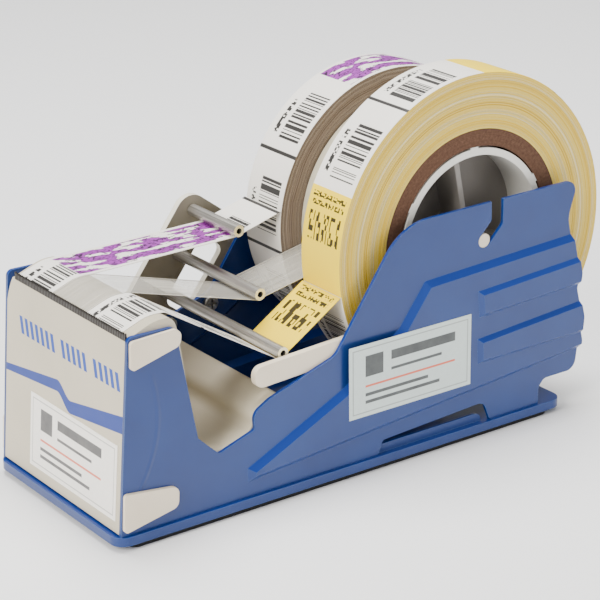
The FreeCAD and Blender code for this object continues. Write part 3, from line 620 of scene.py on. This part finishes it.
def near_print(stock, along, across):
    """Two white labels, then a yellow one; number is the label and share the place on it."""
    place = (along - NEAR_FIRST) / LABEL_PITCH
    number = place.floor()
    share = place.fraction()
    yellow = 1 - ((number + 1) / 3).fraction().above(0.1)
    white = 1 - yellow
    ink = (yellow_label_ink(stock, along, across, share) * yellow
           + white_label_ink(stock, along, across, share) * white)
    divider = share.within(-0.02, 0.036, CRISP) * white * number.above(0.5)
    paper = stock.mix(yellow, PAPER, YELLOW_PAPER)
    return stock.mix(either(ink, divider) * 0.97, paper, BLACK)


# %% [markdown]
# The far tape has white labels too, and a stretch of purple.  The purple is a loose brush-like
# pattern: noise above a limit is a wash, and a thin band of finer noise makes dark strokes.

# %% Far print
def brushwork(stock, along, across):
    flow = stock.node("ShaderNodeCombineXYZ", None,
                      {0: along * 0.10 + across * 0.06, 1: across * 0.26, 2: 0.0})
    inside = across.within(2.0, 23.4, 0.3)
    wash = stock.noise(1.0, 2, flow)
    art = stock.mix(wash.rise(0.45, 0.47) * inside, PAPER, PURPLE)
    stroke = 1 - (stock.noise(2.6, 1, flow) - 0.5).size().rise(0.030, 0.045)
    return stock.mix(stroke * wash.rise(0.40, 0.42) * inside * 0.95, art, colour(18, 8, 20))


def far_print(stock, along, across, purple):
    """White labels with a bar block, and brushwork where purple is 1."""
    share = ((along - FAR_FIRST) / LABEL_PITCH).fraction()
    code = bars(stock, along, 31) * share.within(0.16, 0.74, CRISP)
    code = code * across.within(3.0, 16.5, 0.15)
    tag = blocks(stock, along, across, 0.8, 1.0, 77) * share.within(0.2, 0.6, 0.01)
    ink = either(code, tag * across.within(19.0, 21.6, 0.1))
    divider = share.within(-0.02, 0.038, CRISP)
    plain = stock.mix(either(ink, divider) * 0.97, PAPER, BLACK)
    return stock.mix(purple, plain, brushwork(stock, along, across))


# %% [markdown]
# A roll shows print on its rim and layers on its sides.  The sides are coloured by noise that
# changes with radius only, so every ring has its own shade; a little wander with the place
# keeps the rings from being perfect circles.

# %% Roll finishes
def angle_of(finish):
    """Angle round the axle in radians, 0 towards the blade and rising to the top."""
    return maths("ARCTAN2", finish.z - AXLE_Z, AXLE_X - finish.x)


def roll_finish(name, node, layer_stops, rim_print, gloss, waver=0.5):
    """Layers between the stops' colours on the sides, and rim_print on the rim."""
    stock = Finish(name, Specular_IOR_Level=gloss)
    low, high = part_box(node)
    rim_radius = (high[0] - low[0]) / 2
    radius = radius_of(stock)
    wander = stock.noise(60 * waver, 3) * (waver * MM)
    layers = stock.line_noise((radius + wander) * 2200, 5, 0.8)
    broad = stock.line_noise((radius + wander) * 260, 2, 0.5)
    sides = stock.ramp(layers * 0.8 + broad * 0.2, *layer_stops)
    along = angle_of(stock) * (rim_radius / MM)
    across = (stock.y - low[1]) / MM
    rim = radius.above(rim_radius - 0.2 * MM)
    stock.feed(Base_Color=stock.mix(rim, sides, rim_print(stock, along, across)),
               Roughness=0.62 - 0.2 * rim + 0.1 * layers)
    stock.bump(layers * (1 - rim), 0.16 * MM, 0.8)
    return stock


def far_rim_print(stock, along, across):
    """The purple stretch starts 72 mm round from the blade's side."""
    return far_print(stock, along, across, along.rise(72.0, 72.4))


def film_rim(stock, along, across):
    """Clear film has no print, only a slight cloudiness."""
    return stock.ramp(stock.noise(90, 2), (0.3, colour(196, 190, 168)),
                      (0.8, colour(216, 210, 190)))


NEAR_LAYERS = ((0.36, colour(140, 106, 30)), (0.43, colour(232, 188, 10)),
               (0.48, colour(206, 172, 66)), (0.53, colour(244, 220, 116)),
               (0.58, colour(150, 130, 86)), (0.65, colour(250, 242, 218)))
FAR_LAYERS = ((0.34, colour(44, 34, 30)), (0.43, colour(112, 96, 86)),
              (0.50, colour(156, 142, 130)), (0.57, colour(74, 60, 52)),
              (0.66, colour(188, 176, 164)))
FILM_LAYERS = ((0.30, colour(176, 168, 140)), (0.5, colour(200, 192, 166)),
               (0.7, colour(220, 214, 192)))

for piece, stock in (
        (near_wind, roll_finish("near_label_stock", "near_roll", NEAR_LAYERS, near_print, 0.4)),
        (far_wind, roll_finish("far_label_stock", "far_roll", FAR_LAYERS, far_rim_print, 0.4,
                               1.6)),
        (middle_wind, roll_finish("clear_film_stock", "middle_roll", FILM_LAYERS, film_rim,
                                  0.6))):
    piece.data.materials.append(stock.material)
    print(stock.material.name, "on", piece.name)

# %% [markdown]
# ## Free tapes
#
# The three free tapes are CAD strips.  Along a strip, the distance is found from X, because
# each strip only ever runs rearwards.  The middle tape is clear film: mostly transparent, with
# a glossy surface that catches the light.

# %% Tape finishes
TAPE_SLOPE = 1.165            # length of the near tape behind its guide, per length in X
PEEL_AT = 152.5               # where the near tape leaves its roll, in the roll's own count
HALF_TAPE = 12.7              # half of a tape's width, in mm
NEAR_BLADE_AT = 36.0          # what lies at the blade, in each tape's own count
FAR_BLADE_AT = 47.6


def free_near():
    """Behind the low guide tube the count goes on from the roll, ahead of it from the blade."""
    stock = Finish("near_tape_stock", Specular_IOR_Level=0.4, Roughness=0.42)
    low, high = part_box("near_tape")
    across = (stock.y - low[1]) / MM
    from_roll = PEEL_AT - (high[0] - stock.x) / MM * TAPE_SLOPE
    from_blade = (stock.x - low[0]) / MM + NEAR_BLADE_AT
    rear = stock.x.above(float(middle("low_guide_roller")[0]) - 1.0 * MM)
    stock.feed(Base_Color=stock.mix(rear, near_print(stock, from_blade, across),
                                    near_print(stock, from_roll, across)))
    stock.bump(stock.noise(300, 2), 0.02 * MM, 0.4)
    return stock


def free_far():
    stock = Finish("far_tape_stock", Specular_IOR_Level=0.4, Roughness=0.42)
    low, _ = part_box("far_tape")
    from_blade = (stock.x - low[0]) / MM
    across = (stock.y - low[1]) / MM
    purple = from_blade.within(14.0, 92.0, 0.5)
    stock.feed(Base_Color=far_print(stock, from_blade + FAR_BLADE_AT, across, purple))
    stock.bump(stock.noise(300, 2), 0.02 * MM, 0.4)
    return stock


def free_film():
    """Streaks run across the film; its two edges and one stretch of it are frosted."""
    film = Finish("clear_film", Specular_IOR_Level=0.6)
    low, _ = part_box("middle_tape")
    streak = film.noise(1, 3, film.stretched(30, 700, 30))
    from_blade = (film.x - low[0]) / MM
    across = (film.y - low[1]) / MM
    edge = (across - HALF_TAPE).size().above(HALF_TAPE - 0.5)
    frosted = from_blade.within(38.0, 52.0, 0.3) * across.within(3.0, 22.4, 0.3)
    film.feed(Base_Color=film.ramp(streak, (0.3, colour(196, 192, 180)),
                                   (0.8, colour(226, 222, 210))),
              Alpha=0.30 + 0.14 * streak + 0.34 * edge + 0.16 * frosted,
              Roughness=0.14 + 0.14 * streak + 0.2 * frosted)
    film.bump(streak, 0.03 * MM, 0.5)
    return film


dress(free_near(), "near_tape")
dress(free_far(), "far_tape")
dress(free_film(), "middle_tape")

# %% [markdown]
# ## Stuck-on labels
#
# Two pale paper labels are stuck on the body.  They carry only ruled lines and plain blocks,
# laid out from the label's own corner.

# %% Label finishes
SHARP = 0.1                   # softness of a printed edge, in mm
FRAME_OUT, FRAME_IN = 1.6, 2.1
DARK_MARKS = (                # left, right, low and high side in mm from the label's corner
    (8, 17, 17, 26),          # a square block
    (21, 54, 21.5, 25.5),     # a heading bar
    (21, 47, 17, 18.2),       # a line below it
    (8, 40, 8.6, 10.0),       # two lines at the foot
    (8, 46, 5.4, 6.8),
)
ORANGE_RULE = (8, 54, 12.5, 13.4)


def ruled_label(name, node, paper, sideways):
    """Paper with a fine frame; sideways labels lie along X and the others along Y."""
    label = Finish(name, Specular_IOR_Level=0.45, Roughness=0.4)
    low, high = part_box(node)
    across = (label.x - low[0]) / MM if sideways else (high[1] - label.y) / MM
    width = (high[0] - low[0] if sideways else high[1] - low[1]) / MM
    up = (label.z - low[2]) / MM
    tall = (high[2] - low[2]) / MM

    def mark(left, right, bottom, top, soft=SHARP):
        return across.within(left, right, soft) * up.within(bottom, top, soft)

    outer, inner = (mark(margin, width - margin, margin, tall - margin, 0.08)
                    for margin in (FRAME_OUT, FRAME_IN))
    dark = reduce(either, (mark(*sides) for sides in DARK_MARKS))
    grain = label.noise(500, 3)
    shade = (*(0.94 * value for value in paper[:3]), 1.0)
    tone = label.ramp(grain, (0.3, shade), (0.8, paper))
    ruled = label.mix(mark(*ORANGE_RULE) * 0.9, tone, colour(224, 80, 22))
    ink = either(dark, (outer - inner) * 0.5) * (0.84 + 0.12 * label.noise(220, 2))
    label.feed(Base_Color=label.mix(ink, ruled, colour(34, 34, 38)))
    label.bump(grain, 0.02 * MM, 0.4)
    return label


dress(ruled_label("front_label_paper", "front_label", colour(250, 246, 238), False),
      "front_label")
# Painted shade: the side label's paper is a darker, bluer white than the front label's, as it
# looks turned away from the front light.
dress(ruled_label("side_label_paper_painted_shade", "side_label", colour(206, 218, 214), True), "side_label")

# %% [markdown]
# ## Floor
#
# A plain pale floor catches a soft shadow.  It is one large face that belongs to the stage and
# not to the object.

# %% Floor
def sheet_floor(half):
    mesh = bpy.data.meshes.new("floor")
    mesh.from_pydata([(-half, -half, 0), (half, -half, 0), (half, half, 0), (-half, half, 0)],
                     [], [(0, 1, 2, 3)])
    floor = bpy.data.objects.new("floor", mesh)
    bpy.context.scene.collection.objects.link(floor)
    ground = Finish("pale_floor", Roughness=0.6, Specular_IOR_Level=0.2)
    ground.feed(Base_Color=ground.ramp(ground.noise(3, 2), (0.3, (0.93, 0.93, 0.93, 1)),
                                       (0.8, (0.96, 0.96, 0.96, 1))))
    mesh.materials.append(ground.material)
    print("floor", 2 * half, "m wide")


sheet_floor(6.0)

# %% [markdown]
# ## Lights
#
# A large soft light stands ahead and to the left of the blade, a second one faces the near
# side, and a third hangs above.  A dim white world fills the shadows.  An area light shines
# along its own -Z, so its back vector is worked out from its place and its target, and two
# cross products give the other axes.

# %% Lights
BODY_MIDDLE = (0, 0, 0.07)


def standing(right, up, back, place):
    """A pose whose own axes are right, up and back, at a place."""
    columns = np.stack([right, up, back, np.array(place, float)], axis=1)
    return Matrix([*columns.tolist(), (0, 0, 0, 1)])


def soft_light(name, place, size, power, tint=(1.0, 1.0, 1.0)):
    light = bpy.data.lights.new(name, "AREA")
    light.shape = "SQUARE"
    light.size = size
    light.energy = power
    light.color = tint
    lamp = bpy.data.objects.new(name, light)
    bpy.context.scene.collection.objects.link(lamp)
    back = np.array(place, float) - np.array(BODY_MIDDLE, float)
    back /= np.linalg.norm(back)
    right = np.cross((0.0, 0.0, 1.0), back)
    right /= np.linalg.norm(right)
    lamp.matrix_world = standing(right, np.cross(back, right), back, place)
    print(name, power, "W")


def white_world(strength):
    world = bpy.data.worlds.new("studio")
    world.use_nodes = True
    background = world.node_tree.nodes["Background"]
    background.inputs["Color"].default_value = (1.0, 1.0, 1.0, 1)
    background.inputs["Strength"].default_value = strength
    bpy.context.scene.world = world


soft_light("front_softbox", (-1.2, -0.30, 0.75), size=0.7, power=24, tint=(1.0, 0.97, 0.92))
soft_light("side_softbox", (0.75, -1.15, 0.35), size=0.5, power=5)
soft_light("top_softbox", (0.1, 0.2, 1.4), size=0.8, power=34)
white_world(0.5)

# %% [markdown]
# ## Camera
#
# The camera looks down a little on the near front corner with a long lens.  Two angles give
# its back vector; a small roll then turns its right and up axes about it.

# %% Camera
def aim_camera(turn, rise, roll, distance, target, lens):
    """Angles in degrees; place = target + back * distance."""
    turn, rise, roll = (math.radians(angle) for angle in (turn, rise, roll))
    back = np.array([math.sin(turn) * math.cos(rise), -math.cos(turn) * math.cos(rise),
                     math.sin(rise)])
    right = np.array([math.cos(turn), math.sin(turn), 0.0])
    up = np.cross(back, right)
    right, up = (math.cos(roll) * right + math.sin(roll) * up,
                 math.cos(roll) * up - math.sin(roll) * right)
    data = bpy.data.cameras.new("camera")
    data.lens = lens
    data.sensor_width = 36
    data.clip_end = 20
    camera = bpy.data.objects.new("camera", data)
    bpy.context.scene.collection.objects.link(camera)
    camera.matrix_world = standing(right, up, back, np.array(target) + back * distance)
    bpy.context.scene.camera = camera
    print("camera", distance, "m from its target")


aim_camera(turn=-35.56, rise=21.098, roll=-0.7, distance=0.86708,
           target=(FRONT_X + 0.0790, NEAR_SIDE, 0.08266), lens=135.08)
